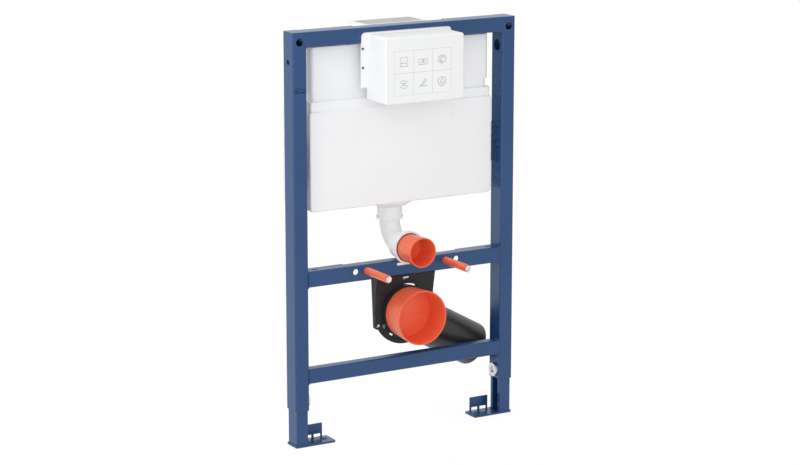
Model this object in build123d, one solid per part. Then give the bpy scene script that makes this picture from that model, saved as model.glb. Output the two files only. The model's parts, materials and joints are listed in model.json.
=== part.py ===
"""Frame for a wall-hung toilet, with its concealed cistern, flush bend and waste bend.

Millimetres. +X runs to the right, +Y to the wall behind, +Z up. The origin lies on the
finished floor, on the centre line of the frame and on the line of the two floor bolts,
which is also the middle of the posts' depth.
"""
import os
from math import cos, radians, sin

from build123d import *

# Steel frame
frame_width = 500.0
frame_height = 820.0
post_width = 30.0
post_depth = 40.0
post_wall = 2.0
post_corner = 3.0
post_foot_drop = 53.0

top_rail_height = 30.0
notch_play = 1.0
notch_strip_height = 9.0
notch_strip_depth = 29.0

rail_wall = 3.0
rail_bend = 3.5
fixing_rail_height = 32.0
fixing_rail_depth = 30.0
fixing_rail_relief_half_width = 130.0
fixing_rail_relief_depth = 6.0
flange_slot_length = 12.0
flange_slot_width = 5.0
flange_slot_inset = 21.0
lower_rail_gap = 21.8
lower_rail_height = 30.0
lower_rail_depth = 21.0

# Holes in the posts
wall_bolt_drop = 19.0
wall_bolt_hole = 11.0
wall_bolt_access = 15.0
tie_hole_drop = 58.0
tie_hole_inner = 23.0
tie_hole_outer = 10.0

# Telescopic legs
leg_play = 0.5
leg_wall = 2.0
leg_slot = 19.0
leg_length = 330.0
clamp_height = 17.0
clamp_head_diameter = 28.0
clamp_head_height = 5.0
clamp_recess_flats = 12.0
clamp_recess_depth = 3.0
clamp_shank_diameter = 10.0
clamp_hole_play = 0.5
clamp_nut_width = 26.0
clamp_nut_thickness = 5.0
clamp_nut_play = 0.5
thread_play = 0.2

# Foot plates
foot_length = 88.0
foot_corner = 3.0
foot_thickness = 4.0
foot_bolt_hole = 12.0
foot_bolt_inset = 16.0
tab_length = 42.0
tab_height = 32.0
tab_thickness = 3.0
tab_inset = 11.0
tab_window_length = 16.0
tab_window_height = 7.0
tab_window_bar = 4.0

# Cistern
tank_side_gap = 14.0
tank_front = -5.0
tank_back = 111.0
tank_corner = 8.0
tank_edge = 3.0
panel_half_width = 116.0
panel_height = 100.0
panel_depth = 1.5
panel_corner = 6.0
tank_wall = 4.0
rim_inset = 3.0
rim_height = 18.0
neck_inset = 8.5
neck_height = 17.0
hood_height = 106.0
hood_side_setback = 6.0
hood_setback = 5.0
hood_play = 4.0
crown_half_width = 98.0
hood_corner = 8.0
lid_half_width = 70.0
lid_front = 20.0
lid_depth = 67.0
lid_height = 12.5
lid_wall = 3.0
lid_corner = 5.0
lid_lap = 8.0
lug_length = 36.0
lug_height = 80.0
lug_thickness = 8.0
lug_lap = 24.0

# Service shaft
shaft_half_width = 87.5
shaft_lift = 16.0
shaft_play = 4.5
shaft_reach = 70.0
shaft_wall = 3.0
shaft_corner = 5.0
ear_width = 13.5
ear_lift = 25.0
ear_thickness = 4.0
ear_corner = 8.0
hood_opening_margin = 10.0

# Bowl fixings
stud_span = 180.0
spare_span = 230.0
stud_height = 340.0
stud_diameter = 12.0
stud_reach = 86.0
stud_tail = 16.0
stud_play = 0.3
stud_edge = 12.5
sleeve_wall = 1.2
sleeve_end = 2.0
spare_hole = 12.0
nut_across_flats = 18.0
nut_height = 10.0

# Flush bend
flush_rise = 38.0
flush_diameter = 41.0
flush_saddle_play = 2.0
flush_drop = 87.0
flush_wall = 3.0
flush_axis_depth = 48.0
flush_bend_radius = 45.0
flush_socket_diameter = 54.0
flush_socket_length = 38.0
flush_socket_edge = 3.0
collar_top_diameter = 92.0
collar_flange = 4.0
collar_neck_diameter = 58.0
collar_height = 14.0
sleeve_diameter = 50.0
sleeve_length = 41.0
lug_ring_diameter = 53.0
lug_ring_height = 5.0
lug_bump = 2.0
lug_bump_width = 10.0
collar_play = 0.3
collar_lip = 6.0
flush_ring_diameter = 66.0
flush_ring_width = 8.0
flush_ring_gap = 2.0
flush_cap_length = 53.0
flush_cap_diameter = 59.5
flush_cap_root_diameter = 55.0
flush_cap_wall = 2.0
clip_half_width = 22.0
clip_inset = 5.0
clip_height = 5.0
clip_thickness = 1.7

# Waste bend
waste_drop = 94.0
waste_socket_diameter = 102.0
waste_tail_diameter = 90.0
waste_wall = 4.0
waste_socket_front = -26.0
waste_bend_start = 12.0
waste_bend_radius = 54.0
waste_tail_angle = 29.2
waste_tail_reach = 187.0
waste_lip_radius = 9.0
waste_lip_length = 6.0
waste_lip_bore = 70.0
waste_cap_length = 56.0
waste_cap_diameter = 109.8
waste_cap_wall = 2.5
bracket_plate_thickness = 3.0
bracket_half_width = 66.5
bracket_setback = 9.0
bracket_lean = 8.0
bracket_lean_height = 40.0
bracket_ear_drop = 32.0
bracket_ear_hole = 7.0
bracket_ear_inset = 7.0
bracket_flange_depth = 25.0
bracket_flange_toe = 9.0
bracket_corner = 5.0
bracket_ring_width = 16.2
bracket_play = 0.3
bracket_slot_inset = 3.2
bracket_slot_width = 3.4
bracket_slot_start = 64.0
bracket_slot_sweep = 28.0
drain_slot_start = 207.0
drain_slot_step = 26.0
drain_slot_sweep = 7.0
hook_slot_half_width = 7.0
hook_slot_drop = 4.0
hook_slot_height = 5.0
collar_ring_width = 1.4
collar_ring_depth = 10.0

# Places that follow from the sizes above
post_out = frame_width / 2
post_in = post_out - post_width
front = -post_depth / 2
back = post_depth / 2
fixing_rail_top = stud_height + stud_edge
fixing_rail_bottom = fixing_rail_top - fixing_rail_height
top_rail_bottom = frame_height - top_rail_height
post_mid = (post_in + post_out) / 2
flush_height = stud_height + flush_rise
waste_height = stud_height - waste_drop
waste_bore = waste_socket_diameter + 2 * bracket_play
bracket_ring_diameter = waste_bore + 2 * bracket_ring_width
bracket_bottom = waste_height - bracket_ear_drop
bracket_face = front + bracket_setback
lower_rail_top = waste_height - bracket_ring_diameter / 2 - lower_rail_gap
lower_rail_bottom = lower_rail_top - lower_rail_height
post_foot = lower_rail_bottom - post_foot_drop
tank_half_width = post_in - tank_side_gap
tank_bottom = flush_height + flush_drop
hood_half_width = tank_half_width - hood_side_setback
hood_front = tank_front + hood_setback
hood_top = top_rail_bottom - hood_play
hood_bottom = hood_top - hood_height
tank_top = hood_bottom - rim_height
lug_bottom = (tank_bottom + tank_top - lug_height) / 2
roof_bottom = hood_top - tank_wall
neck_top = hood_bottom + neck_height
hood_inner = tank_half_width - neck_inset - tank_wall
hood_inner_front = tank_front + neck_inset + tank_wall
hood_inner_back = tank_back - neck_inset - tank_wall
hood_opening = shaft_half_width - hood_opening_margin
shaft_bottom = tank_top + shaft_lift
shaft_top = frame_height - notch_strip_height - shaft_play
shaft_front = front - shaft_reach
shaft_back = front + ear_thickness
shaft_rim_top = frame_height - notch_strip_height - notch_play
notch_half_width = shaft_half_width + ear_width + notch_play
notch_corner = ear_corner + notch_play
opening_bottom = neck_top + hood_opening_margin
opening_top = shaft_top - hood_opening_margin
ring_front = front - flush_ring_gap - flush_ring_width


def block(x0, x1, y0, y1, z0, z1):
    """A box between two corners."""
    centre = Pos((x0 + x1) / 2, (y0 + y1) / 2, (z0 + z1) / 2)
    return centre * Box(abs(x1 - x0), abs(y1 - y0), abs(z1 - z0))


def rod_x(x0, x1, y, z, diameter):
    """A cylinder along X."""
    return Pos((x0 + x1) / 2, y, z) * Rot(0, 90, 0) * Cylinder(diameter / 2, abs(x1 - x0))


def rod_y(x, y0, y1, z, diameter):
    """A cylinder along Y."""
    return Pos(x, (y0 + y1) / 2, z) * Rot(90, 0, 0) * Cylinder(diameter / 2, abs(y1 - y0))


def rod_z(x, y, z0, z1, diameter):
    """A cylinder along Z."""
    return Pos(x, y, (z0 + z1) / 2) * Cylinder(diameter / 2, abs(z1 - z0))


def rounded(shape, axis, radius):
    """Round the edges that run along an axis."""
    return fillet(shape.edges().filter_by(axis), radius)


def save(name, shape):
    """Write one node."""
    export_step(shape, f"parts/{name}.step")


def save_pair(name, right_shape):
    """Write a right-hand node and its mirror image."""
    save(f"right_{name}", right_shape)
    save(f"left_{name}", mirror(right_shape, Plane.YZ))


def post():
    """Right post: a steel tube, open at its foot."""
    tube = block(post_in, post_out, front, back, post_foot, frame_height)
    tube = rounded(tube, Axis.Z, post_corner)
    hollow = block(post_in + post_wall, post_out - post_wall, front + post_wall, back - post_wall,
                   post_foot - post_wall, frame_height - post_wall)
    tube -= rounded(hollow, Axis.Z, post_corner - post_wall)
    bolt_z = frame_height - wall_bolt_drop
    tube -= rod_y(post_mid, front - post_wall, 0, bolt_z, wall_bolt_access)
    tube -= rod_y(post_mid, 0, back + post_wall, bolt_z, wall_bolt_hole)
    tie_z = frame_height - tie_hole_drop
    tube -= rod_x(post_in - post_wall, post_mid, 0, tie_z, tie_hole_inner)
    tube -= rod_x(post_mid, post_out + post_wall, 0, tie_z, tie_hole_outer)
    hole = clamp_shank_diameter + 2 * clamp_hole_play
    tube -= rod_x(post_in - post_wall, post_mid, 0, post_foot + clamp_height, hole)
    return tube


def top_rail():
    """Tube between the posts, cut away in the middle to a strip over the shaft."""
    tube = block(-post_in, post_in, front, back, top_rail_bottom, frame_height)
    tube = rounded(tube, Axis.X, post_corner)
    hollow = block(-post_in, post_in, front + post_wall, back - post_wall,
                   top_rail_bottom + post_wall, frame_height - post_wall)
    tube -= rounded(hollow, Axis.X, post_corner - post_wall)
    strip_bottom = frame_height - notch_strip_height
    notch = block(-notch_half_width, notch_half_width, front, back, top_rail_bottom, strip_bottom)
    tube -= fillet(notch.edges().filter_by(Axis.Y).group_by(Axis.Z)[-1], notch_corner)
    tube -= block(-notch_half_width, notch_half_width, front + notch_strip_depth, back,
                  top_rail_bottom, frame_height)
    return tube


def channel(bottom, height, depth):
    """Steel channel between the posts, open to the back."""
    outer = block(-post_in, post_in, front, front + depth, bottom, bottom + height)
    bends = outer.edges().filter_by(Axis.X).group_by(Axis.Y)[0]
    outer = fillet(bends, rail_bend)
    inner = block(-post_in, post_in, front + rail_wall, front + depth,
                  bottom + rail_wall, bottom + height - rail_wall)
    bends = inner.edges().filter_by(Axis.X).group_by(Axis.Y)[0]
    return outer - fillet(bends, rail_bend - rail_wall)


def fixing_rail():
    """Rail that carries the bowl, with its stud holes and the spare pair."""
    rail = channel(fixing_rail_bottom, fixing_rail_height, fixing_rail_depth)
    rail_back = front + fixing_rail_depth
    rail -= block(-fixing_rail_relief_half_width, fixing_rail_relief_half_width,
                  rail_back - fixing_rail_relief_depth, rail_back,
                  fixing_rail_top - rail_wall, fixing_rail_top)
    for side in (-1, 1):
        hole = stud_diameter + 2 * stud_play
        rail -= rod_y(side * stud_span / 2, front, front + rail_wall, stud_height, hole)
        rail -= rod_y(side * spare_span / 2, front, front + rail_wall, stud_height, spare_hole)
        slot_x = side * (post_in - flange_slot_inset)
        slot_y = front + fixing_rail_depth / 2
        rail -= block(slot_x - flange_slot_length / 2, slot_x + flange_slot_length / 2,
                      slot_y - flange_slot_width / 2, slot_y + flange_slot_width / 2,
                      fixing_rail_top - rail_wall, fixing_rail_top)
    saddle = flush_socket_diameter + 2 * flush_saddle_play
    return rail - rod_y(0, front - rail_wall, rail_back + rail_wall, flush_height, saddle)


def lower_rail():
    """Rail that ties the posts near the floor."""
    return channel(lower_rail_bottom, lower_rail_height, lower_rail_depth)


def leg():
    """Right leg: a C section inside the post, its slot facing inwards."""
    inset = post_wall + leg_play
    x0 = post_in + inset
    x1 = post_out - inset
    y1 = back - inset
    top = foot_thickness + leg_length
    section = block(x0, x1, -y1, y1, foot_thickness, top)
    section = rounded(section, Axis.Z, post_corner - post_wall)
    section -= block(x0 + leg_wall, x1 - leg_wall, leg_wall - y1, y1 - leg_wall, foot_thickness, top)
    return section - block(x0, x0 + leg_wall, -leg_slot / 2, leg_slot / 2, foot_thickness, top)


def foot_plate():
    """Right foot: a floor plate with a bolt hole and an upright tab with two windows."""
    inner = post_out - foot_length
    plate = block(inner, post_out, front, back, 0, foot_thickness)
    plate = rounded(plate, Axis.Z, foot_corner)
    tab_start = inner + tab_inset
    plate += block(tab_start, tab_start + tab_length, back - tab_thickness, back, 0, tab_height)
    tab_mid = tab_start + tab_length / 2
    for side in (-1, 1):
        window = tab_mid + side * (tab_window_bar + tab_window_length) / 2
        plate -= block(window - tab_window_length / 2, window + tab_window_length / 2,
                       back - tab_thickness, back, foot_thickness, foot_thickness + tab_window_height)
    return plate - rod_z(inner + foot_bolt_inset, 0, 0, foot_thickness, foot_bolt_hole)


def clamp_bolt():
    """Right clamp bolt: a flanged head on the post, its shank inside the leg's slot."""
    z = post_foot + clamp_height
    shank_end = post_in + post_wall + leg_play + leg_wall + clamp_nut_play + clamp_nut_thickness
    bolt = rod_x(post_in - clamp_head_height, post_in, 0, z, clamp_head_diameter)
    bolt += rod_x(post_in, shank_end, 0, z, clamp_shank_diameter)
    hexagon = RegularPolygon(clamp_recess_flats / 2, 6, major_radius=False)
    socket = Pos(post_in - clamp_head_height, 0, z) * Rot(0, 90, 0) * extrude(hexagon, clamp_recess_depth)
    return bolt - socket


def clamp_nut():
    """Right clamp nut: a square plate behind the leg's lips."""
    z = post_foot + clamp_height
    x0 = post_in + post_wall + leg_play + leg_wall + clamp_nut_play
    half = clamp_nut_width / 2
    nut = block(x0, x0 + clamp_nut_thickness, -half, half, z - half, z + half)
    bore = clamp_shank_diameter + 2 * thread_play
    return nut - rod_x(x0, x0 + clamp_nut_thickness, 0, z, bore)


def cistern_tank():
    """Lower half of the cistern: a moulded box with a rim and a shallow front panel."""
    body = block(-tank_half_width, tank_half_width, tank_front, tank_back, tank_bottom, tank_top)
    body = rounded(body, Axis.Y, tank_corner)
    body = fillet(body.edges().group_by(Axis.Y)[0] + body.edges().group_by(Axis.Y)[-1], tank_edge)
    rim_half = tank_half_width - rim_inset
    rim = block(-rim_half, rim_half, tank_front + rim_inset, tank_back - rim_inset,
                tank_top - tank_corner, hood_bottom)
    body += rounded(rim, Axis.Z, tank_edge)
    inset = tank_wall + rim_inset
    body -= block(inset - tank_half_width, tank_half_width - inset, tank_front + inset, tank_back - inset,
                  tank_bottom + tank_wall, hood_bottom - tank_wall)
    mouth = neck_inset + tank_wall
    body -= block(mouth - tank_half_width, tank_half_width - mouth, tank_front + mouth, tank_back - mouth,
                  tank_top, hood_bottom)
    panel = block(-panel_half_width, panel_half_width, tank_front, tank_front + panel_depth,
                  tank_top - panel_height, tank_top + panel_corner)
    body -= rounded(panel, Axis.Y, panel_corner)
    return body - rod_z(0, flush_axis_depth, tank_bottom, tank_bottom + tank_wall, flush_diameter)


def cistern_hood():
    """Walls of the cistern's upper half: a waist, then the hood with the shaft's opening."""
    neck_half = tank_half_width - neck_inset
    neck = block(-neck_half, neck_half, tank_front + neck_inset, tank_back - neck_inset,
                 hood_bottom, neck_top)
    hood = block(-hood_half_width, hood_half_width, hood_front, tank_back, neck_top, roof_bottom)
    hood = rounded(hood, Axis.Z, hood_corner) + rounded(neck, Axis.Z, hood_corner)
    hood -= block(-hood_inner, hood_inner, hood_inner_front, hood_inner_back, hood_bottom, roof_bottom)
    return hood - block(-hood_opening, hood_opening, hood_front, hood_inner_front,
                        opening_bottom, roof_bottom)


def cistern_roof():
    """Roof of the hood: low beside the rail, with a crown that rises through its notch."""
    roof = block(-hood_half_width, hood_half_width, hood_front, tank_back, roof_bottom, hood_top)
    crown = block(-crown_half_width, crown_half_width, hood_front, tank_back, roof_bottom, shaft_top)
    roof = rounded(roof, Axis.Z, hood_corner) + rounded(crown, Axis.Z, hood_corner)
    crown_inner = crown_half_width - tank_wall
    roof -= block(-crown_inner, crown_inner, hood_inner_front, hood_inner_back,
                  roof_bottom, shaft_top - tank_wall)
    roof -= block(-hood_opening, hood_opening, hood_front, hood_inner_front,
                  roof_bottom, opening_top)
    lid_half = lid_half_width - lid_lap
    return roof - block(-lid_half, lid_half, lid_front + lid_lap, lid_front + lid_depth - lid_lap,
                        shaft_top - tank_wall, shaft_top)


def cistern_lid():
    """Shallow lid over the hood's top opening."""
    lid = block(-lid_half_width, lid_half_width, lid_front, lid_front + lid_depth,
                shaft_top, shaft_top + lid_height)
    lid = rounded(lid, Axis.Z, lid_corner)
    return lid - block(lid_wall - lid_half_width, lid_half_width - lid_wall, lid_front + lid_wall,
                       lid_front + lid_depth - lid_wall, shaft_top, shaft_top + lid_height - lid_wall)


def tank_lug():
    """Right lug: carries the cistern on the back of the post."""
    lug = block(tank_half_width, post_in + lug_lap, back, back + lug_thickness,
                lug_bottom, lug_bottom + lug_height)
    lug += block(tank_half_width, tank_half_width + lug_thickness, back, back + lug_length,
                 lug_bottom, lug_bottom + lug_height)
    return lug


def service_shaft():
    """Box in front of the rail, closed until the plate is fitted, with a short neck to the hood."""
    shaft = block(-shaft_half_width, shaft_half_width, shaft_front, shaft_back, shaft_bottom, shaft_top)
    shaft = rounded(shaft, Axis.Y, shaft_corner)
    shaft = fillet(shaft.edges().group_by(Axis.Y)[0], shaft_corner / 2)
    shaft += block(-shaft_half_width, shaft_half_width, front, shaft_back,
                   shaft_top - shaft_corner, shaft_rim_top)
    half = shaft_half_width - shaft_wall
    shaft -= block(-half, half, shaft_front + shaft_wall, front,
                   shaft_bottom + shaft_wall, shaft_top - shaft_wall)
    neck_half = hood_opening + shaft_wall
    shaft += block(-neck_half, neck_half, shaft_back, hood_front,
                   opening_bottom - shaft_wall, opening_top + shaft_wall)
    return shaft - block(-hood_opening, hood_opening, front, hood_front, opening_bottom, opening_top)


def shaft_bracket():
    """Right ear: a flat plate on the shaft's side, in the notch of the top rail."""
    ear = block(shaft_half_width, shaft_half_width + ear_width, front, shaft_back,
                shaft_bottom + ear_lift, shaft_rim_top)
    corner = ear.edges().filter_by(Axis.Y).group_by(Axis.Z)[-1].sort_by(Axis.X)[-1]
    return fillet(corner, ear_corner)


def stud():
    """Right stud that carries the bowl."""
    x = stud_span / 2
    return rod_y(x, front - stud_reach, front + rail_wall + stud_tail, stud_height, stud_diameter)


def stud_sleeve():
    """Right sleeve that guards the stud's thread."""
    x = stud_span / 2
    bore = stud_diameter + 2 * stud_play
    end = front - stud_reach + sleeve_end
    sleeve = rod_y(x, end, front, stud_height, bore + 2 * sleeve_wall)
    return sleeve - rod_y(x, end, front, stud_height, bore)


def stud_nut():
    """Right hexagon nut on the back of the fixing rail."""
    x = stud_span / 2
    y = front + rail_wall
    hexagon = RegularPolygon(nut_across_flats / 2, 6, major_radius=False)
    nut = Pos(x, y, stud_height) * Rot(-90, 0, 0) * extrude(hexagon, nut_height)
    return nut - rod_y(x, y, y + nut_height, stud_height, stud_diameter + 2 * stud_play)


def outlet_collar():
    """Union under the cistern: a conical nut, a sleeve and a ring with two lugs."""
    bore = flush_diameter / 2 + collar_play
    throat = flush_diameter / 2 - flush_wall
    sleeve_low = sleeve_length - lug_ring_height
    section = Polyline((throat, 0), (collar_top_diameter / 2, 0), (collar_top_diameter / 2, -collar_flange),
                       (collar_neck_diameter / 2, -collar_height), (sleeve_diameter / 2, -collar_height),
                       (sleeve_diameter / 2, -sleeve_low), (lug_ring_diameter / 2, -sleeve_low),
                       (lug_ring_diameter / 2, -sleeve_length), (bore, -sleeve_length),
                       (bore, -collar_lip), (throat, -collar_lip), close=True)
    collar = revolve(Plane.XZ * make_face(section), Axis.Z)
    reach = lug_ring_diameter / 2 + lug_bump
    for side in (-1, 1):
        collar += block(side * sleeve_diameter / 2, side * reach, -lug_bump_width / 2, lug_bump_width / 2,
                        -sleeve_length, -sleeve_low)
    return Pos(0, flush_axis_depth, tank_bottom) * collar


def flush_path():
    """Centre line of the flush bend: down from the cistern, then forward over the rail."""
    corner_y = flush_axis_depth - flush_bend_radius
    corner_z = flush_height + flush_bend_radius
    down = Line((0, flush_axis_depth, tank_bottom - collar_lip), (0, flush_axis_depth, corner_z))
    slack = flush_bend_radius * (1 - cos(radians(45)))
    middle = (0, flush_axis_depth - slack, flush_height + slack)
    elbow = ThreePointArc(down @ 1, middle, (0, corner_y, flush_height))
    forward = Line(elbow @ 1, (0, ring_front, flush_height))
    return Wire([down, elbow, forward])


def rod_along(path, diameter):
    """A round bar along a path of straight runs and tangent arcs."""
    return sweep(Plane(path @ 0, z_dir=path % 0) * Circle(diameter / 2), path)


def flush_bend():
    """White bend from the cistern to the bowl's inlet, with a wider socket at its mouth."""
    path = flush_path()
    socket = rod_y(0, ring_front, ring_front + flush_socket_length, flush_height, flush_socket_diameter)
    socket = fillet(socket.edges().sort_by(Axis.Y)[-1], flush_socket_edge)
    return socket + rod_along(path, flush_diameter) - rod_along(path, flush_diameter - 2 * flush_wall)


def flush_ring():
    """Ring on the mouth of the flush bend."""
    ring = rod_y(0, ring_front, ring_front + flush_ring_width, flush_height, flush_ring_diameter)
    bore = flush_socket_diameter + 2 * collar_play
    return ring - rod_y(0, ring_front, ring_front + flush_ring_width, flush_height, bore)


def flush_clip():
    """Strip on the fixing rail under the flush ring."""
    top = fixing_rail_top - clip_inset
    return block(-clip_half_width, clip_half_width, front - clip_thickness, front, top - clip_height, top)


def cup(root_diameter, mouth_diameter, length, wall):
    """An open cup whose floor is at the origin and whose mouth looks up."""
    root = root_diameter / 2
    mouth = mouth_diameter / 2
    section = Polyline((0, 0), (root, 0), (mouth, length), (mouth - wall, length), (root - wall, wall),
                       (0, wall), close=True)
    return revolve(Plane.XZ * make_face(section), Axis.Z)


def flush_cap():
    """Orange guard on the flush bend."""
    shape = cup(flush_cap_root_diameter, flush_cap_diameter, flush_cap_length, flush_cap_wall)
    return Pos(0, ring_front, flush_height) * Rot(90, 0, 0) * shape


def waste_tail_direction():
    """Unit direction of the waste bend's tail."""
    angle = radians(waste_tail_angle)
    return Vector(cos(angle), 0, -sin(angle))


def waste_path(tail_reach):
    """Centre line of the waste bend, with a tail of that length."""
    along = waste_tail_direction()
    start = Vector(0, waste_bend_start, waste_height)
    centre = start + along * waste_bend_radius
    finish = centre + Vector(0, waste_bend_radius, 0)
    middle = centre + (Vector(0, 1, 0) - along) * (waste_bend_radius * sin(radians(45)))
    socket = Line((0, waste_socket_front, waste_height), start)
    elbow = ThreePointArc(start, middle, finish)
    tail = Line(finish, finish + along * tail_reach)
    return Wire([socket, elbow, tail])


def waste_bend():
    """Black bend: socket to the bowl, tail to the right and down with an inturned lip."""
    path = waste_path(waste_tail_reach)
    outer = rod_along(path, waste_tail_diameter)
    tail_end = outer.faces().sort_by(Axis.X)[-1].edges()
    outer = fillet(tail_end, waste_lip_radius)
    outer += rod_y(0, waste_socket_front, waste_bend_start, waste_height, waste_socket_diameter)
    inner = rod_along(waste_path(waste_tail_reach - waste_lip_length), waste_tail_diameter - 2 * waste_wall)
    inner += rod_y(0, waste_socket_front, waste_bend_start - waste_wall, waste_height,
                   waste_socket_diameter - 2 * waste_wall)
    return outer - inner - rod_along(path, waste_lip_bore)


def waste_cap():
    """Orange guard on the waste bend."""
    shape = cup(waste_socket_diameter, waste_cap_diameter, waste_cap_length, waste_cap_wall)
    return Pos(0, waste_socket_front, waste_height) * Rot(90, 0, 0) * shape


def waste_bracket():
    """Black bracket under the fixing rail: a leaning plate with two flanges and the bend's ring."""
    wall = bracket_plate_thickness
    ring_back = bracket_face + wall
    lean_front = bracket_face - bracket_lean
    flange_back = lean_front + bracket_flange_depth
    knee = fixing_rail_bottom - bracket_lean_height
    side = Polyline((lean_front, fixing_rail_bottom), (flange_back, fixing_rail_bottom),
                    (bracket_face + bracket_flange_toe, bracket_bottom), (bracket_face, bracket_bottom),
                    (bracket_face, knee), close=True)
    bracket = extrude(Plane.YZ * make_face(side), bracket_half_width, both=True)
    bracket = fillet(bracket.edges().filter_by(Axis.Y).group_by(Axis.Z)[0], bracket_corner)
    room = Polyline((lean_front + wall, fixing_rail_bottom - wall), (flange_back, fixing_rail_bottom - wall),
                    (flange_back, bracket_bottom), (ring_back, bracket_bottom), (ring_back, knee), close=True)
    bracket -= extrude(Plane.YZ * make_face(room), bracket_half_width - wall, both=True)
    hook_top = fixing_rail_bottom - hook_slot_drop
    hook_bottom = hook_top - hook_slot_height
    ring = rod_y(0, bracket_face, ring_back, waste_height, bracket_ring_diameter)
    bracket += ring - block(-bracket_half_width, bracket_half_width, bracket_face, ring_back,
                            hook_bottom - wall, fixing_rail_bottom)
    for ear_side in (-1, 1):
        ear_x = ear_side * (bracket_half_width - bracket_ear_inset)
        bracket -= rod_y(ear_x, bracket_face, ring_back, bracket_bottom + bracket_ear_inset, bracket_ear_hole)
    face = Plane((0, ring_back, waste_height), x_dir=(1, 0, 0), z_dir=(0, -1, 0))
    slot_radius = waste_bore / 2 + bracket_slot_inset
    slots = [(bracket_slot_start, bracket_slot_sweep), (drain_slot_start, drain_slot_sweep),
             (drain_slot_start + drain_slot_step, drain_slot_sweep)]
    for start, sweep_angle in slots:
        arc = CenterArc((0, 0), slot_radius, start, sweep_angle)
        bracket -= extrude(face * SlotArc(arc, bracket_slot_width), wall + bracket_lean)
    bracket -= block(-hook_slot_half_width, hook_slot_half_width, lean_front, ring_back,
                     hook_bottom, hook_top)
    collar_room = waste_bore + 2 * collar_ring_width + 2 * bracket_play
    bracket -= rod_y(0, lean_front, bracket_face, waste_height, collar_room)
    return bracket - rod_y(0, bracket_face, ring_back, waste_height, waste_bore)


def waste_collar():
    """Clamp ring on the socket, in front of the bracket."""
    collar_front = bracket_face - collar_ring_depth
    ring = rod_y(0, collar_front, bracket_face, waste_height, waste_bore + 2 * collar_ring_width)
    return ring - rod_y(0, collar_front, bracket_face, waste_height, waste_bore)


os.makedirs("parts", exist_ok=True)
save_pair("post", post())
save("top_rail", top_rail())
save("fixing_rail", fixing_rail())
save("lower_rail", lower_rail())
save_pair("leg", leg())
save_pair("foot_plate", foot_plate())
save_pair("clamp_bolt", clamp_bolt())
save_pair("clamp_nut", clamp_nut())
save("cistern_tank", cistern_tank())
save("cistern_hood", cistern_hood())
save("cistern_roof", cistern_roof())
save("cistern_lid", cistern_lid())
save_pair("tank_lug", tank_lug())
save("service_shaft", service_shaft())
save_pair("shaft_bracket", shaft_bracket())
save_pair("stud", stud())
save_pair("stud_sleeve", stud_sleeve())
save_pair("stud_nut", stud_nut())
save("outlet_collar", outlet_collar())
save("flush_bend", flush_bend())
save("flush_ring", flush_ring())
save("flush_clip", flush_clip())
save("flush_cap", flush_cap())
save("waste_bend", waste_bend())
save("waste_cap", waste_cap())
save("waste_bracket", waste_bracket())
save("waste_collar", waste_collar())
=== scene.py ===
"""Looks of a wall-hung toilet frame: finishes, welds, screws, threads and printed lines."""

import json
from math import acos, cos, pi, radians, sin, tau

import bmesh
import bpy
from mathutils import Matrix, Vector


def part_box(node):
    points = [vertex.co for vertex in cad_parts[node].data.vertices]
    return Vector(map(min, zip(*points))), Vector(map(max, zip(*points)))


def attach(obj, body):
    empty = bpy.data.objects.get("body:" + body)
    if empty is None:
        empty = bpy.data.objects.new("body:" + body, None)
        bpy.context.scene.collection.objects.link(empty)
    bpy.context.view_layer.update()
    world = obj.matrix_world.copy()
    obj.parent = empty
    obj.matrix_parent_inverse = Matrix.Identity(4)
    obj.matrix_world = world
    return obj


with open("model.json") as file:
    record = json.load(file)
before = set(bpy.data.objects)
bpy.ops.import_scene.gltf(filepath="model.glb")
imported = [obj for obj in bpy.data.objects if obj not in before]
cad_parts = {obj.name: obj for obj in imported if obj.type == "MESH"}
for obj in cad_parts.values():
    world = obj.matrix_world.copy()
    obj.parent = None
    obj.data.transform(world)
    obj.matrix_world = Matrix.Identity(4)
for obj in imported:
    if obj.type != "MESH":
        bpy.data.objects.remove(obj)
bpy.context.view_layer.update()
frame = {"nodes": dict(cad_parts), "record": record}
MM = 0.001

CAMERA_PLACE = (-2.3698, -4.0668, 1.4525)
CAMERA_PITCH = 12.572
CAMERA_YAW = 30.192
CAMERA_LENS = 109.49
SENSOR_WIDTH = 36.0

MERGE_DISTANCE = 1e-6
ON_AXIS = 1e-7


def low_high(node):
    """Corners of a CAD node in metres."""
    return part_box(node)


# Finishes
def finish(name, roughness, metallic=0.0):
    """A material with its shader and its Object coordinates."""
    material = bpy.data.materials.new(name)
    material.use_nodes = True
    nodes = material.node_tree.nodes
    shader = nodes["Principled BSDF"]
    shader.inputs["Metallic"].default_value = metallic
    shader.inputs["Roughness"].default_value = roughness
    coords = nodes.new("ShaderNodeTexCoord")
    return material, shader, coords.outputs["Object"]


def noise(material, place, scale, detail=3.0, stretch=None):
    """A noise pattern in Object coordinates."""
    tree = material.node_tree
    if stretch:
        mapping = tree.nodes.new("ShaderNodeMapping")
        mapping.inputs["Scale"].default_value = stretch
        tree.links.new(place, mapping.inputs["Vector"])
        place = mapping.outputs["Vector"]
    pattern = tree.nodes.new("ShaderNodeTexNoise")
    pattern.inputs["Scale"].default_value = scale
    pattern.inputs["Detail"].default_value = detail
    tree.links.new(place, pattern.inputs["Vector"])
    return pattern.outputs["Fac"]


def cells(material, place, scale):
    """A pattern of packed beads."""
    tree = material.node_tree
    pattern = tree.nodes.new("ShaderNodeTexVoronoi")
    pattern.inputs["Scale"].default_value = scale
    tree.links.new(place, pattern.inputs["Vector"])
    return pattern.outputs["Distance"]


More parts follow.
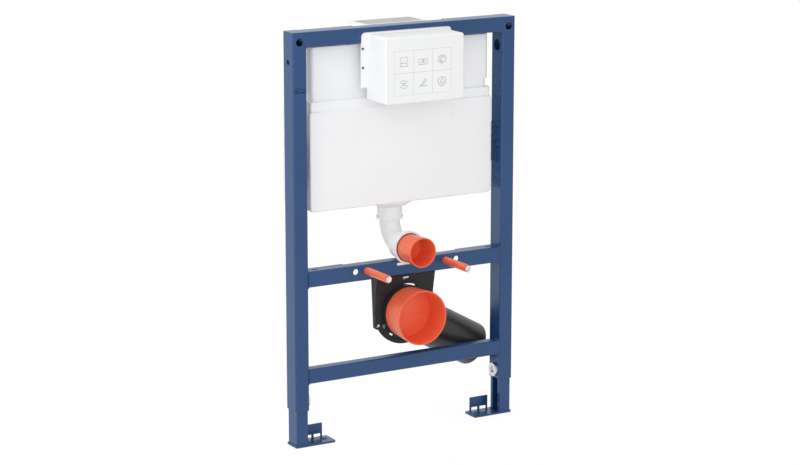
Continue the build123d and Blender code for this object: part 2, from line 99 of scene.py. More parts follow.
def two_tones(material, shader, pattern, dark, light, low=0.3, high=0.7):
    """Colour that drifts between two tones."""
    tree = material.node_tree
    ramp = tree.nodes.new("ShaderNodeValToRGB")
    ramp.color_ramp.elements[0].position = low
    ramp.color_ramp.elements[0].color = (*dark, 1)
    ramp.color_ramp.elements[1].position = high
    ramp.color_ramp.elements[1].color = (*light, 1)
    tree.links.new(pattern, ramp.inputs["Fac"])
    tree.links.new(ramp.outputs["Color"], shader.inputs["Base Color"])


def rough_between(material, shader, pattern, low, high):
    """Roughness that drifts between two values."""
    tree = material.node_tree
    span = tree.nodes.new("ShaderNodeMapRange")
    span.inputs["To Min"].default_value = low
    span.inputs["To Max"].default_value = high
    tree.links.new(pattern, span.inputs["Value"])
    tree.links.new(span.outputs["Result"], shader.inputs["Roughness"])


def relief(material, shader, pattern, strength, depth):
    """Fine relief on the surface."""
    tree = material.node_tree
    bump = tree.nodes.new("ShaderNodeBump")
    bump.inputs["Strength"].default_value = strength
    bump.inputs["Distance"].default_value = depth
    tree.links.new(pattern, bump.inputs["Height"])
    tree.links.new(bump.outputs["Normal"], shader.inputs["Normal"])


def powder_coat():
    """Blue powder coat with a fine orange peel."""
    material, shader, place = finish("blue_powder_coat", 0.42)
    drift = noise(material, place, 5.0)
    two_tones(material, shader, drift, (0.008, 0.054, 0.170), (0.013, 0.063, 0.190))
    rough_between(material, shader, noise(material, place, 40.0), 0.24, 0.32)
    relief(material, shader, noise(material, place, 700.0, 2.0), 0.04, 0.0004)
    shader.inputs["Specular IOR Level"].default_value = 0.5
    return material


def zinc_plate():
    """Zinc plating with a faint streak from turning."""
    material, shader, place = finish("zinc_plate", 0.35, metallic=1.0)
    drift = noise(material, place, 120.0)
    two_tones(material, shader, drift, (0.60, 0.61, 0.62), (0.78, 0.78, 0.79))
    rough_between(material, shader, noise(material, place, 300.0), 0.28, 0.42)
    relief(material, shader, noise(material, place, 900.0), 0.1, 0.0002)
    return material


def orange_moulding():
    """Orange moulded plastic of the caps and sleeves."""
    material, shader, place = finish("orange_moulding", 0.40)
    drift = noise(material, place, 18.0)
    two_tones(material, shader, drift, (0.86, 0.138, 0.056), (0.92, 0.160, 0.068))
    rough_between(material, shader, noise(material, place, 90.0), 0.28, 0.36)
    relief(material, shader, noise(material, place, 1200.0, 2.0), 0.08, 0.0003)
    shader.inputs["Specular IOR Level"].default_value = 0.45
    return material


def bead_foam():
    """White insulated tank with the faint grain of pressed beads."""
    material, shader, place = finish("white_bead_shell", 0.55)
    drift = noise(material, place, 4.0)
    two_tones(material, shader, drift, (0.895, 0.90, 0.91), (0.925, 0.93, 0.94))
    rough_between(material, shader, noise(material, place, 60.0), 0.50, 0.62)
    relief(material, shader, cells(material, place, 260.0), 0.10, 0.0006)
    return material


def white_moulding():
    """White moulded plastic with a fine spark-eroded grain."""
    material, shader, place = finish("white_moulding", 0.45)
    drift = noise(material, place, 7.0)
    two_tones(material, shader, drift, (0.885, 0.89, 0.895), (0.92, 0.925, 0.93))
    rough_between(material, shader, noise(material, place, 80.0), 0.40, 0.52)
    relief(material, shader, noise(material, place, 1100.0, 2.0), 0.08, 0.0003)
    return material


def grey_lid():
    """Pale grey plastic of the lid behind the rail."""
    material, shader, place = finish("pale_grey_lid", 0.50)
    drift = noise(material, place, 30.0, stretch=(1.0, 6.0, 1.0))
    two_tones(material, shader, drift, (0.42, 0.42, 0.42), (0.54, 0.54, 0.54))
    rough_between(material, shader, noise(material, place, 80.0), 0.42, 0.56)
    relief(material, shader, noise(material, place, 1100.0, 2.0), 0.08, 0.0003)
    return material


def black_pipe():
    """Black drain plastic with faint streaks along the tail."""
    material, shader, place = finish("black_drain_plastic", 0.42)
    drift = noise(material, place, 30.0, stretch=(0.4, 1.0, 1.0))
    two_tones(material, shader, drift, (0.015, 0.016, 0.016), (0.024, 0.025, 0.025))
    rough_between(material, shader, noise(material, place, 60.0), 0.30, 0.42)
    relief(material, shader, noise(material, place, 1000.0, 2.0), 0.1, 0.0003)
    return material


def black_bracket():
    """Black moulded bracket, paler and duller than the pipe, with a faint swirl."""
    material, shader, place = finish("black_bracket_plastic", 0.48)
    drift = noise(material, place, 45.0)
    two_tones(material, shader, drift, (0.024, 0.026, 0.026), (0.034, 0.036, 0.036))
    rough_between(material, shader, noise(material, place, 70.0), 0.42, 0.54)
    relief(material, shader, noise(material, place, 1000.0, 2.0), 0.1, 0.0003)
    shader.inputs["Specular IOR Level"].default_value = 0.2
    return material


def plain_ink(name, dark, light, roughness):
    """Printed or stamped marks."""
    material, shader, place = finish(name, roughness)
    two_tones(material, shader, noise(material, place, 400.0), dark, light)
    shader.inputs["Specular IOR Level"].default_value = 0.1
    return material


blue_coat = powder_coat()
zinc = zinc_plate()
orange = orange_moulding()
foam_white = bead_foam()
satin_white = white_moulding()
lid_grey = grey_lid()
drain_black = black_pipe()
bracket_black = black_bracket()
print_grey = plain_ink("grey_print", (0.46, 0.47, 0.48), (0.54, 0.55, 0.56), 0.6)
icon_grey = plain_ink("dark_grey_print", (0.20, 0.205, 0.21), (0.27, 0.275, 0.28), 0.6)
mark_ink = plain_ink("dark_blue_mark", (0.004, 0.010, 0.03), (0.006, 0.014, 0.04), 0.6)
screw_dark = plain_ink("dark_screw", (0.10, 0.10, 0.105), (0.16, 0.16, 0.165), 0.45)

SLOT_FINISH = {
    "blue_steel": blue_coat,
    "zinc_steel": zinc,
    "orange_plastic": orange,
    "white_plastic": satin_white,
    "black_plastic": drain_black,
}
NODE_FINISH = {
    "cistern_tank": foam_white,
    "cistern_hood": foam_white,
    "cistern_roof": foam_white,
    "cistern_lid": satin_white,
    "left_tank_lug": foam_white,
    "right_tank_lug": foam_white,
    "waste_bracket": bracket_black,
}
for subpart in frame["record"]["subparts"]:
    node_name = subpart["node"]
    node_mesh = frame["nodes"][node_name].data
    node_mesh.materials.clear()
    node_mesh.materials.append(NODE_FINISH.get(node_name, SLOT_FINISH[subpart["material_slot"]]))


# Geometry Nodes
def new_tree(name, sizes):
    """An empty tree with a geometry input, named sizes and a geometry output."""
    tree = bpy.data.node_groups.new(name, "GeometryNodeTree")
    tree.interface.new_socket(name="Path", in_out="INPUT", socket_type="NodeSocketGeometry")
    for size in sizes:
        tree.interface.new_socket(name=size, in_out="INPUT", socket_type="NodeSocketFloat")
    tree.interface.new_socket(name="Geometry", in_out="OUTPUT", socket_type="NodeSocketGeometry")
    entry = tree.nodes.new("NodeGroupInput")
    leave = tree.nodes.new("NodeGroupOutput")
    return tree, entry.outputs, leave.inputs["Geometry"]


def close_tree(tree, shape, leave, smooth):
    """Realize, shade and paint what the tree has made."""
    real = tree.nodes.new("GeometryNodeRealizeInstances")
    shade = tree.nodes.new("GeometryNodeSetShadeSmooth")
    shade.inputs["Shade Smooth"].default_value = smooth
    paint = tree.nodes.new("GeometryNodeSetMaterial")
    tree.links.new(shape, real.inputs["Geometry"])
    tree.links.new(real.outputs["Geometry"], shade.inputs["Geometry"])
    tree.links.new(shade.outputs["Geometry"], paint.inputs["Geometry"])
    tree.links.new(paint.outputs["Geometry"], leave)
    return paint.inputs["Material"]


def bead_tree():
    """Weld ripples: overlapping drops along a path, with seeded sizes."""
    tree, entry, leave = new_tree("weld_beads", ["Ripple", "Radius"])
    to_curve = tree.nodes.new("GeometryNodeMeshToCurve")
    spread = tree.nodes.new("GeometryNodeResampleCurve")
    spread.mode = "LENGTH"
    drop = tree.nodes.new("GeometryNodeMeshUVSphere")
    drop.inputs["Segments"].default_value = 10
    drop.inputs["Rings"].default_value = 6
    vary = tree.nodes.new("FunctionNodeRandomValue")
    vary.inputs["Min"].default_value = 0.85
    vary.inputs["Max"].default_value = 1.1
    vary.inputs["Seed"].default_value = 7
    drops = tree.nodes.new("GeometryNodeInstanceOnPoints")
    link = tree.links.new
    link(entry["Path"], to_curve.inputs["Mesh"])
    link(to_curve.outputs["Curve"], spread.inputs["Curve"])
    link(entry["Ripple"], spread.inputs["Length"])
    link(entry["Radius"], drop.inputs["Radius"])
    link(spread.outputs["Curve"], drops.inputs["Points"])
    link(drop.outputs["Mesh"], drops.inputs["Instance"])
    link(vary.outputs["Value"], drops.inputs["Scale"])
    return tree, close_tree(tree, drops.outputs["Instances"], leave, True)


def line_tree():
    """A round line along each path."""
    tree, entry, leave = new_tree("drawn_lines", ["Radius"])
    to_curve = tree.nodes.new("GeometryNodeMeshToCurve")
    section = tree.nodes.new("GeometryNodeCurvePrimitiveCircle")
    section.inputs["Resolution"].default_value = 8
    sweep = tree.nodes.new("GeometryNodeCurveToMesh")
    sweep.inputs["Fill Caps"].default_value = True
    link = tree.links.new
    link(entry["Path"], to_curve.inputs["Mesh"])
    link(entry["Radius"], section.inputs["Radius"])
    link(to_curve.outputs["Curve"], sweep.inputs["Curve"])
    link(section.outputs["Curve"], sweep.inputs["Profile Curve"])
    return tree, close_tree(tree, sweep.outputs["Mesh"], leave, True)


def paths_object(name, paths):
    """A mesh of open or closed polylines; a path that ends where it starts is closed."""
    points = []
    edges = []
    for path in paths:
        first = len(points)
        closed = path[0] == path[-1]
        kept = path[:-1] if closed else path
        points.extend(kept)
        edges.extend((first + i, first + i + 1) for i in range(len(kept) - 1))
        if closed:
            edges.append((first + len(kept) - 1, first))
    mesh = bpy.data.meshes.new(name)
    mesh.from_pydata([Vector(p) for p in points], edges, [])
    piece = bpy.data.objects.new(name, mesh)
    bpy.context.scene.collection.objects.link(piece)
    return piece


def grow(piece, made_tree, material, **sizes):
    """Run a tree on a piece and keep the result as a plain mesh."""
    tree, paint = made_tree
    paint.default_value = material
    modifier = piece.modifiers.new("grow", "NODES")
    modifier.node_group = tree
    for socket in tree.interface.items_tree:
        if socket.in_out == "INPUT" and socket.name in sizes:
            modifier[socket.identifier] = sizes[socket.name]
    depsgraph = bpy.context.evaluated_depsgraph_get()
    made = bpy.data.meshes.new_from_object(piece.evaluated_get(depsgraph))
    piece.modifiers.clear()
    piece.data = made
    return piece


def settle(piece, body):
    """Put a finished piece on its body."""
    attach(piece, body)
    return piece


def mesh_piece(name, material, build):
    """A piece whose mesh is made by a function on a bmesh."""
    mesh = bpy.data.meshes.new(name)
    shape = bmesh.new()
    build(shape)
    bmesh.ops.remove_doubles(shape, verts=shape.verts, dist=MERGE_DISTANCE)
    bmesh.ops.recalc_face_normals(shape, faces=shape.faces)
    shape.to_mesh(mesh)
    shape.free()
    mesh.materials.append(material)
    piece = bpy.data.objects.new(name, mesh)
    bpy.context.scene.collection.objects.link(piece)
    return piece


def turned(shape, profile, place, steps=48, smooth=True):
    """A solid of revolution about local Z from (radius, height) points, closed on the axis."""
    rings = []
    for radius, height in profile:
        if radius < ON_AXIS:
            rings.append([shape.verts.new(place @ Vector((0, 0, height)))])
            continue
        ring = []
        for step in range(steps):
            angle = tau * step / steps
            point = Vector((radius * cos(angle), radius * sin(angle), height))
            ring.append(shape.verts.new(place @ point))
        rings.append(ring)
    for lower, upper in zip(rings, rings[1:]):
        for step in range(steps):
            following = (step + 1) % steps
            corners = [lower[step % len(lower)], lower[following % len(lower)],
                       upper[following % len(upper)], upper[step % len(upper)]]
            unique = list(dict.fromkeys(corners))
            if len(unique) > 2:
                shape.faces.new(unique).smooth = smooth


WELD = bead_tree()
LINE = line_tree()

# Welds where the rails meet the posts
POST_IN = low_high("right_post")[0].x
FRONT = low_high("right_post")[0].y
RAIL_SEAM = 2.0 * MM
RAIL_RIPPLE = 1.5 * MM
RAIL_BEAD = 1.9 * MM
FOOT_RIPPLE = 1.4 * MM
FOOT_BEAD = 1.4 * MM


def weld_paths():
    """Inner corners above and below each rail end, and the seam at its back."""
    paths = []
    for rail in ("top_rail", "fixing_rail", "lower_rail"):
        low, high = low_high(rail)
        for side in (-1, 1):
            x = side * POST_IN
            heights = [low.z] if rail == "top_rail" else [low.z, high.z]
            for z in heights:
                paths.append([(x, low.y + RAIL_SEAM, z), (x, high.y - RAIL_SEAM, z)])
            paths.append([(x, high.y, low.z + RAIL_SEAM), (x, high.y, high.z - 2 * RAIL_SEAM)])
    return paths


welds = paths_object("rail_welds", weld_paths())
grow(welds, WELD, blue_coat, Ripple=RAIL_RIPPLE, Radius=RAIL_BEAD)
settle(welds, "frame")

for side_name in ("left", "right"):
    leg_low, leg_high = low_high(f"{side_name}_leg")
    base = leg_low.z
    inner, outer = (leg_low.x, leg_high.x) if side_name == "right" else (leg_high.x, leg_low.x)
    corners = [(inner, leg_low.y, base), (outer, leg_low.y, base),
               (outer, leg_high.y, base), (inner, leg_high.y, base)]
    foot_weld = paths_object(f"{side_name}_foot_weld", [corners])
    grow(foot_weld, WELD, blue_coat, Ripple=FOOT_RIPPLE, Radius=FOOT_BEAD)
    settle(foot_weld, f"{side_name}_foot")


# Threads on the studs
def helix(centre, radius, start, end, pitch, steps=20):
    """Points of a thread's crest along Y."""
    turns = abs(end - start) / pitch
    count = int(turns * steps)
    points = []
    for i in range(count + 1):
        angle = tau * i / steps
        y = start + (end - start) * i / count
        points.append((centre.x + radius * cos(angle), y, centre.z + radius * sin(angle)))
    return points


THREAD_PITCH = 1.75 * MM
THREAD_CREST = 0.5 * MM
THREAD_SINK = 0.3 * MM
THREAD_END = 0.6 * MM


def thread_paths():
    """Crests on the bare tip and on the tail behind the nut."""
    paths = []
    for side_name in ("left", "right"):
        low, high = low_high(f"{side_name}_stud")
        sleeve_front = low_high(f"{side_name}_stud_sleeve")[0].y
        nut_back = low_high(f"{side_name}_stud_nut")[1].y
        centre = (low + high) / 2
        radius = (high.x - low.x) / 2 - THREAD_SINK
        paths.append(helix(centre, radius, nut_back, high.y - THREAD_END, THREAD_PITCH))
        paths.append(helix(centre, radius, low.y + THREAD_END, sleeve_front, THREAD_PITCH))
    return paths


threads = grow(paths_object("stud_threads", thread_paths()), LINE, zinc, Radius=THREAD_CREST)
settle(threads, "frame")


# Printed frame and icons on the service shaft
SHAFT_LOW, SHAFT_HIGH = low_high("service_shaft")
PRINT_FLAT = 0.25
GRID_STROKE = 0.28 * MM
ICON_STROKE = 0.45 * MM


def arc_points(x, z, radius, start=0.0, sweep=tau, steps=24):
    """Points of an arc on the shaft's front."""
    return [(x + radius * cos(start + sweep * i / steps), z + radius * sin(start + sweep * i / steps))
            for i in range(steps + 1)]


def closed_ring(x, z, radius):
    """A closed circle."""
    points = arc_points(x, z, radius)[:-1]
    return points + points[:1]


def rectangle(x0, x1, z0, z1):
    """A closed rectangle."""
    return [(x0, z0), (x1, z0), (x1, z1), (x0, z1), (x0, z0)]


def icon_frame(x, z):
    """Two posts and two rails on feet."""
    return [rectangle(x - 7, x + 7, z - 8, z + 9), [(x - 7, z - 2), (x + 7, z - 2)],
            [(x - 10, z - 8), (x - 4, z - 8)], [(x + 4, z - 8), (x + 10, z - 8)]]


def icon_turn(x, z):
    """A ring with an arrow that turns."""
    arrow = [(x - 3, z - 6), (x, z - 4.5), (x - 2, z - 2)]
    return [closed_ring(x, z, 8), arc_points(x, z, 4.5, 0.4, 4.6), arrow]


def icon_plate(x, z):
    """A flat plate over an opening."""
    lower = [(x - 9, z - 5), (x + 2, z - 8), (x + 9, z - 4), (x - 2, z - 1), (x - 9, z - 5)]
    upper = [(px, pz + 9) for px, pz in lower]
    return [lower, upper, [(x, z - 2), (x, z + 3)]]


def icon_cut(x, z):
    """A blade on a line."""
    blade = [(x - 6, z - 6), (x + 5, z + 8), (x + 8, z + 5), (x - 3, z - 6)]
    return [[(x - 9, z - 6), (x + 9, z - 6)], blade]


def icon_level(x, z):
    """A spirit level."""
    ground = [(x - 10, z - 7), (x + 10, z - 7)]
    return [rectangle(x - 10, x + 10, z - 3, z + 3), closed_ring(x, z, 2), ground]


def icon_drop(x, z):
    """A water drop in a ring."""
    drop = [(x, z + 6), (x + 3, z + 1), (x + 3.4, z - 2), (x + 1.6, z - 4.4), (x - 1.6, z - 4.4),
            (x - 3.4, z - 2), (x - 3, z + 1), (x, z + 6)]
    return [closed_ring(x, z, 8.5), drop]


PRINT_LEFT, PRINT_RIGHT = -69.0, 59.0
PRINT_BOTTOM, PRINT_TOP = 694.0, 780.0
PRINT_MIDDLE = (PRINT_BOTTOM + PRINT_TOP) / 2
PRINT_COLUMNS = [PRINT_LEFT + (PRINT_RIGHT - PRINT_LEFT) * share for share in (0.0, 0.34, 0.67, 1.0)]
ICONS = [icon_frame, icon_level, icon_turn, icon_plate, icon_cut, icon_drop]


def print_grid():
    """Six cells in two rows, in millimetres on the shaft's front."""
    lines = [rectangle(PRINT_LEFT, PRINT_RIGHT, PRINT_BOTTOM, PRINT_TOP),
             [(PRINT_LEFT, PRINT_MIDDLE), (PRINT_RIGHT, PRINT_MIDDLE)]]
    for x in PRINT_COLUMNS[1:-1]:
        lines.append([(x, PRINT_BOTTOM), (x, PRINT_TOP)])
    return lines


def print_icons():
    """One icon in the middle of each cell."""
    lines = []
    for index, icon in enumerate(ICONS):
        column = index % 3
        x = (PRINT_COLUMNS[column] + PRINT_COLUMNS[column + 1]) / 2
        row_edge = PRINT_TOP if index < 3 else PRINT_BOTTOM
        lines.extend(icon(x, (row_edge + PRINT_MIDDLE) / 2))
    return lines


def flat_print(name, lines, face_y, radius, material):
    """Lines drawn on a front face, flattened to a print."""
    paths = [[(x * MM, face_y, z * MM) for x, z in line] for line in lines]
    piece = grow(paths_object(name, paths), LINE, material, Radius=radius)
    for vertex in piece.data.vertices:
        vertex.co.y = face_y + (vertex.co.y - face_y) * PRINT_FLAT
    return piece


settle(flat_print("shaft_print", print_grid(), SHAFT_LOW.y, GRID_STROKE, print_grey), "frame")
settle(flat_print("shaft_icons", print_icons(), SHAFT_LOW.y, ICON_STROKE, icon_grey), "frame")

# Height mark on the left post
MARK_HEIGHT = 0.705
MARK_STROKE = 0.8 * MM
MARK_OUTER_INSET = 3.0
MARK_INNER_INSET = 2.0
LABEL_SIZE = 9.5 * MM
LABEL_RAISE = 0.06 * MM
LABEL_LIFT = 2.5 * MM
POST_LOW, POST_HIGH = low_high("left_post")
MARK_LINE = [[(POST_LOW.x / MM + MARK_OUTER_INSET, MARK_HEIGHT / MM),
              (POST_HIGH.x / MM - MARK_INNER_INSET, MARK_HEIGHT / MM)]]
settle(flat_print("height_mark_line", MARK_LINE, POST_LOW.y, MARK_STROKE, mark_ink), "frame")


def mark_label():
    """Raised figures over the mark."""
    curve = bpy.data.curves.new("height_mark_label", "FONT")
    curve.body = "0.7 m"
    curve.size = LABEL_SIZE
    curve.extrude = LABEL_RAISE
    curve.align_x = "CENTER"
    drawing = bpy.data.objects.new("label_drawing", curve)
    bpy.context.scene.collection.objects.link(drawing)
    depsgraph = bpy.context.evaluated_depsgraph_get()
    mesh = bpy.data.meshes.new_from_object(drawing.evaluated_get(depsgraph))
    bpy.data.objects.remove(drawing)
    middle = (POST_LOW.x + POST_HIGH.x) / 2
    place = Matrix.Translation((middle, POST_LOW.y, MARK_HEIGHT + LABEL_LIFT))
    mesh.transform(place @ Matrix.Rotation(pi / 2, 4, "X"))
    mesh.materials.clear()
    mesh.materials.append(mark_ink)
    piece = bpy.data.objects.new("height_mark_label", mesh)
    bpy.context.scene.collection.objects.link(piece)
    return piece


settle(mark_label(), "frame")


# Screws
def pan_head(shape, place, radius, height):
    """A domed screw head with a round well in its top."""
    profile = [(0, 0), (radius, 0), (radius, height * 0.35), (radius * 0.9, height * 0.7),
               (radius * 0.62, height * 0.95), (radius * 0.42, height), (radius * 0.3, height * 0.45),
               (0, height * 0.4)]
    turned(shape, profile, place, steps=20)


def facing(point, axis):
    """A place whose local Z looks along an axis."""
    return Matrix.Translation(point) @ Vector(axis).to_track_quat("Z", "Y").to_matrix().to_4x4()


EAR_SCREW_HEIGHTS = (779.0, 742.0)
EAR_SCREW_RADIUS = 2.6 * MM
EAR_SCREW_HEAD = 1.8 * MM
EAR_SCREW_INSET = 3.0 * MM


def ear_screws(shape):
    """Two screws near the outer edge of each ear of the shaft."""
    for side_name, side in (("left", -1), ("right", 1)):
        low, high = low_high(f"{side_name}_shaft_bracket")
        x = low.x + EAR_SCREW_INSET if side < 0 else high.x - EAR_SCREW_INSET
        for height in EAR_SCREW_HEIGHTS:
            point = Vector((x, low.y, height * MM))
            pan_head(shape, facing(point, (0, -1, 0)), EAR_SCREW_RADIUS, EAR_SCREW_HEAD)


settle(mesh_piece("ear_screws", screw_dark, ear_screws), "frame")

LUG_SCREW_RADIUS = 4.5 * MM
LUG_SCREW_HEAD = 3.0 * MM
LUG_SCREW_SHIFT = 3.0 * MM
LUG_SCREW_SHARES = (0.25, 0.75)
LUG_THICKNESS = 8.0 * MM


def lug_screws(shape):
    """Two screws through each cistern lug into the post."""
    for side_name, side in (("left", -1), ("right", 1)):
        low, high = low_high(f"{side_name}_tank_lug")
        post_low, post_high = low_high(f"{side_name}_post")
        x = (post_low.x + post_high.x) / 2 - side * LUG_SCREW_SHIFT
        face = post_high.y + LUG_THICKNESS
        for share in LUG_SCREW_SHARES:
            point = Vector((x, face, low.z + (high.z - low.z) * share))
            pan_head(shape, facing(point, (0, 1, 0)), LUG_SCREW_RADIUS, LUG_SCREW_HEAD)


settle(mesh_piece("lug_screws", zinc, lug_screws), "frame")

# Flush weld on the front of the top rail
POST_CORNER = 3.0 * MM
FILLER_STEPS = 8


def flush_weld(shape):
    """Filler between the end of the top rail and the round edge of each post."""
    low, high = low_high("top_rail")
    for side in (-1, 1):
        outline = [(side * POST_IN, FRONT)]
        for step in range(FILLER_STEPS + 1):
            turn = pi / 2 * step / FILLER_STEPS
            x = POST_IN + POST_CORNER * (1 - sin(turn))
            outline.append((side * x, FRONT + POST_CORNER * (1 - cos(turn))))
        rings = []
        for z in (low.z + RAIL_SEAM, high.z - RAIL_SEAM):
            rings.append([shape.verts.new((x, y, z)) for x, y in outline])
        shape.faces.new(rings[0])
        shape.faces.new(rings[1])
        for index in range(len(outline)):
            following = (index + 1) % len(outline)
            shape.faces.new((rings[0][index], rings[0][following],
                             rings[1][following], rings[1][index]))


settle(mesh_piece("flush_weld", blue_coat, flush_weld), "frame")

# Moulded lines, grips and teeth
BEND_RADIUS = 45.0 * MM
PIPE_RADIUS = 20.5 * MM
SOCKET_LENGTH = 38.0 * MM
BEND_LOW, BEND_HIGH = low_high("flush_bend")
RING_LOW, RING_HIGH = low_high("flush_ring")
PIPE_DEPTH = BEND_HIGH.y - PIPE_RADIUS
PIPE_HEIGHT = (RING_LOW.z + RING_HIGH.z) / 2
SOCKET_BACK = BEND_LOW.y + SOCKET_LENGTH
WASTE_LOW, WASTE_HIGH = low_high("waste_collar")
WASTE_HEIGHT = (WASTE_LOW.z + WASTE_HIGH.z) / 2
CAP_LOW, CAP_HIGH = low_high("waste_cap")
CAP_WALL = 2.5 * MM
CAP_FLARE = 3.9 * MM
UNION_NECK_RADIUS = 29.0 * MM
UNION_FLANGE = 4.0 * MM
UNION_HEIGHT = 14.0 * MM
BRACKET_BEADS = (60.0 * MM, 66.0 * MM)
BEND_STEPS = 16
GRIP_TOP_GAP = 1.0 * MM
TOOTH_FRONT_GAP = 1.0 * MM
TOOTH_BACK_GAP = 0.5 * MM
CAP_RIB_DROP = 4.0 * MM
CAP_RIB_SHARE = 0.6
CAP_MOUTH_GAP = 1.0 * MM
CAP_DRAW_ANGLES = (radians(-34), radians(146))
SEAL_RADIUS = 28.4 * MM
SEAL_GAP = 0.4 * MM
PARTING_STROKE = 0.5 * MM
GRIP_STROKE = 0.8 * MM
TOOTH_STROKE = 1.0 * MM
BEAD_STROKE = 1.1 * MM
SEAL_STROKE = 0.9 * MM
CAP_RIB_STROKE = 0.6 * MM


def parting_path(side):
    """One side of the flush bend, from the union to its socket."""
    last_turn = acos(1 - (PIPE_DEPTH - SOCKET_BACK) / BEND_RADIUS)
    points = []
    for step in range(BEND_STEPS + 1):
        turn = last_turn * step / BEND_STEPS
        points.append((side * PIPE_RADIUS, PIPE_DEPTH - BEND_RADIUS * (1 - cos(turn)),
                       PIPE_HEIGHT + BEND_RADIUS * (1 - sin(turn))))
    return points


def ring_path(radius, y, z, steps=64):
    """A closed circle about an axis along Y."""
    angles = [tau * i / steps for i in range(steps)]
    points = [(radius * cos(angle), y, z + radius * sin(angle)) for angle in angles]
    return points + points[:1]


def grip_paths(count=22):
    """Ribs down the cone of the union's nut."""
    low, high = low_high("outlet_collar")
    centre = (low.y + high.y) / 2
    wide = (high.x - low.x) / 2
    narrow = UNION_NECK_RADIUS
    paths = []
    for step in range(count):
        angle = tau * step / count
        paths.append([(wide * cos(angle), centre + wide * sin(angle), high.z - GRIP_TOP_GAP),
                      (wide * cos(angle), centre + wide * sin(angle), high.z - UNION_FLANGE),
                      (narrow * cos(angle), centre + narrow * sin(angle), high.z - UNION_HEIGHT)])
    return paths


def tooth_paths(count=48):
    """Short teeth round the clamp ring."""
    radius = WASTE_HIGH.x
    paths = []
    for step in range(count):
        angle = tau * step / count
        x, z = radius * cos(angle), WASTE_HEIGHT + radius * sin(angle)
        paths.append([(x, WASTE_LOW.y + TOOTH_FRONT_GAP, z), (x, WASTE_HIGH.y - TOOTH_BACK_GAP, z)])
    return paths


def cap_paths():
    """A rib across the cap's floor and two draw lines on its inner wall."""
    floor_y = CAP_HIGH.y - CAP_WALL
    mouth = CAP_HIGH.x - CAP_WALL
    root = mouth - CAP_FLARE
    rib_z = WASTE_HEIGHT - CAP_RIB_DROP
    rib_end = CAP_RIB_SHARE * root
    paths = [[(-rib_end, floor_y, rib_z), (rib_end, floor_y, rib_z)]]
    for angle in CAP_DRAW_ANGLES:
        ends = [(root, floor_y), (mouth, CAP_LOW.y + CAP_MOUTH_GAP)]
        paths.append([(r * cos(angle), y, WASTE_HEIGHT + r * sin(angle)) for r, y in ends])
    return paths


def drawn(name, paths, material, radius):
    """Lines that ride on the frame."""
    return settle(grow(paths_object(name, paths), LINE, material, Radius=radius), "frame")


drawn("bend_parting_lines", [parting_path(-1), parting_path(1)],
      satin_white, PARTING_STROKE)
drawn("union_grips", grip_paths(), satin_white, GRIP_STROKE)
drawn("clamp_teeth", tooth_paths(), drain_black, TOOTH_STROKE)
drawn("bracket_beads", [ring_path(radius, WASTE_HIGH.y, WASTE_HEIGHT) for radius in BRACKET_BEADS],
      bracket_black, BEAD_STROKE)
drawn("flush_seal", [ring_path(SEAL_RADIUS, RING_LOW.y - SEAL_GAP, PIPE_HEIGHT)],
      drain_black, SEAL_STROKE)
drawn("cap_ribs", cap_paths(), orange, CAP_RIB_STROKE)

# Inset plate on the lid
LID_EDGE = 7.0 * MM
LID_CORNER = 4.0 * MM
LID_PLATE = 0.5 * MM
LID_SOFT_EDGE = 0.4 * MM
LID_EDGE_SHARE = 0.6
CORNER_STEPS = 6


def round_outline(low, high, inset, corner):
    """A rectangle with round corners, in X and Y."""
    points = []
    for index, (sx, sy) in enumerate(((1, 1), (-1, 1), (-1, -1), (1, -1))):
        x = (high.x if sx > 0 else low.x) - sx * (inset + corner)
        y = (high.y if sy > 0 else low.y) - sy * (inset + corner)
        for step in range(CORNER_STEPS + 1):
            angle = pi / 2 * (index + step / CORNER_STEPS)
            points.append((x + corner * cos(angle), y + corner * sin(angle)))
    return points


def lid_plate(shape):
    """A thin plate with a soft edge."""
    low, high = low_high("cistern_lid")
    edge_top = high.z + LID_EDGE_SHARE * LID_PLATE
    layers = [(0.0, high.z), (0.0, edge_top), (LID_SOFT_EDGE, high.z + LID_PLATE)]
    rings = []
    for inset, z in layers:
        outline = round_outline(low, high, LID_EDGE + inset, LID_CORNER)
        rings.append([shape.verts.new((x, y, z)) for x, y in outline])
    for lower, upper in zip(rings, rings[1:]):
        for index in range(len(lower)):
            following = (index + 1) % len(lower)
            shape.faces.new((lower[index], lower[following], upper[following], upper[index]))
    shape.faces.new(rings[0])
    shape.faces.new(rings[-1])


settle(mesh_piece("lid_plate", lid_grey, lid_plate), "frame")

# Floor, light and camera
WORLD_LIGHT = 0.74
FLOOR_GAP = 0.5 * MM
FLOOR_SIZE = 40.0
FLOOR_SPLIT = 240 * MM
FLOOR_TONE = (0.9, 0.9, 0.9, 1)
FLOOR_GLOW = 1.1
FLOOR_GLOW_SHARE = 0.8


def white_for_camera(tree, lit, white, out):
    """Show plain white to the camera and in reflections, and the lit shader to other rays."""
    path = tree.nodes.new("ShaderNodeLightPath")
    link = tree.links.new
    seen = path.outputs["Is Camera Ray"]
    for ray in ("Is Glossy Ray", "Is Transmission Ray"):
        either = tree.nodes.new("ShaderNodeMath")
        either.operation = "MAXIMUM"
        link(seen, either.inputs[0])
        link(path.outputs[ray], either.inputs[1])
        seen = either.outputs["Value"]
    mix = tree.nodes.new("ShaderNodeMixShader")
    link(seen, mix.inputs["Fac"])
    link(lit, mix.inputs[1])
    link(white, mix.inputs[2])
    link(mix.outputs["Shader"], out)


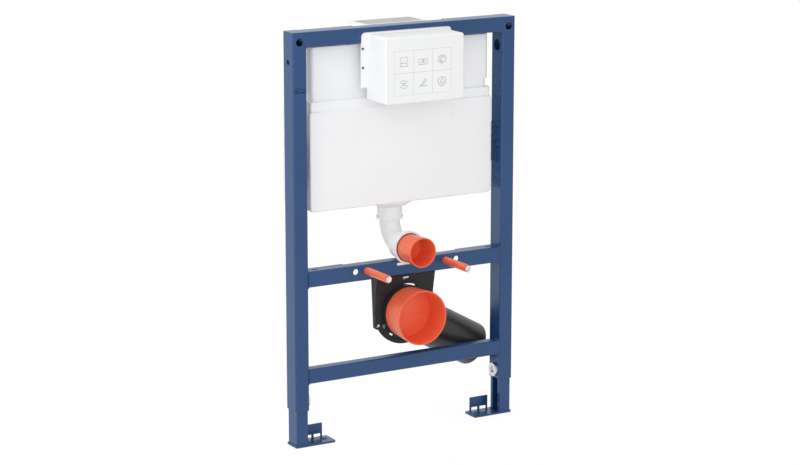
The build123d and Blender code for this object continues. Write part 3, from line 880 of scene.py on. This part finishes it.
def studio_world():
    """White to the camera, softer as a light."""
    world = bpy.data.worlds.new("studio")
    bpy.context.scene.world = world
    world.use_nodes = True
    tree = world.node_tree
    lit = tree.nodes["Background"]
    lit.inputs["Color"].default_value = (1, 1, 1, 1)
    lit.inputs["Strength"].default_value = WORLD_LIGHT
    white = tree.nodes.new("ShaderNodeBackground")
    white.inputs["Color"].default_value = (1, 1, 1, 1)
    white.inputs["Strength"].default_value = 1.0
    out = tree.nodes["World Output"].inputs["Surface"]
    white_for_camera(tree, lit.outputs["Background"], white.outputs["Background"], out)


def floor_finish():
    """Pale floor paint that stays white behind the object and keeps its shadow."""
    material = bpy.data.materials.new("pale_floor")
    material.use_nodes = True
    tree = material.node_tree
    tree.nodes.clear()
    out = tree.nodes.new("ShaderNodeOutputMaterial").inputs["Surface"]
    lit = tree.nodes.new("ShaderNodeBsdfDiffuse")
    lit.inputs["Color"].default_value = FLOOR_TONE
    glow = tree.nodes.new("ShaderNodeEmission")
    glow.inputs["Strength"].default_value = FLOOR_GLOW
    shown = tree.nodes.new("ShaderNodeMixShader")
    shown.inputs["Fac"].default_value = FLOOR_GLOW_SHARE
    tree.links.new(lit.outputs["BSDF"], shown.inputs[1])
    tree.links.new(glow.outputs["Emission"], shown.inputs[2])
    white_for_camera(tree, lit.outputs["BSDF"], shown.outputs["Shader"], out)
    return material


def studio_floor():
    """A pale floor in two halves. Each goes down with its own foot, and the open strip between them
    keeps the other foot in sight when only one leg is drawn out."""
    material = floor_finish()
    reach = FLOOR_SIZE / 2
    edge = FLOOR_SPLIT / 2
    for side, near, far in (("left", -reach, -edge), ("right", edge, reach)):
        corners = [(near, -reach, 0), (far, -reach, 0), (far, reach, 0), (near, reach, 0)]
        mesh = bpy.data.meshes.new(side + "_floor")
        mesh.from_pydata(corners, [], [(0, 1, 2, 3)])
        mesh.materials.append(material)
        floor = bpy.data.objects.new(side + "_floor", mesh)
        bpy.context.scene.collection.objects.link(floor)
        floor.location.z = -FLOOR_GAP
        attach(floor, side + "_foot")


def softbox(name, place, target, width, height, watts):
    """An area lamp that looks at a point."""
    lamp = bpy.data.lights.new(name, "AREA")
    lamp.shape = "RECTANGLE"
    lamp.size = width
    lamp.size_y = height
    lamp.energy = watts
    holder = bpy.data.objects.new(name, lamp)
    bpy.context.scene.collection.objects.link(holder)
    holder.location = place
    holder.rotation_euler = (Vector(target) - Vector(place)).to_track_quat("-Z", "Y").to_euler()


def studio_camera():
    """The photograph's viewing angle."""
    lens = bpy.data.cameras.new("camera")
    lens.sensor_width = SENSOR_WIDTH
    lens.lens = CAMERA_LENS
    camera = bpy.data.objects.new("camera", lens)
    bpy.context.scene.collection.objects.link(camera)
    camera.location = CAMERA_PLACE
    camera.rotation_euler = (radians(90 - CAMERA_PITCH), 0, radians(-CAMERA_YAW))
    bpy.context.scene.camera = camera


studio_world()
studio_floor()
softbox("left_key", place=(-1.3, -0.2, 1.7), target=(-0.2, 0.0, 0.75),
        width=0.8, height=0.9, watts=9.0)
softbox("front_fill", place=(-1.5, -3.6, 1.8), target=(0.0, 0.0, 0.45),
        width=2.4, height=2.0, watts=22.0)
softbox("low_fill", place=(-1.1, -2.0, 0.25), target=(0.0, 0.0, 0.40),
        width=1.2, height=0.6, watts=3.5)
studio_camera()
bpy.context.scene.view_settings.view_transform = "Standard"
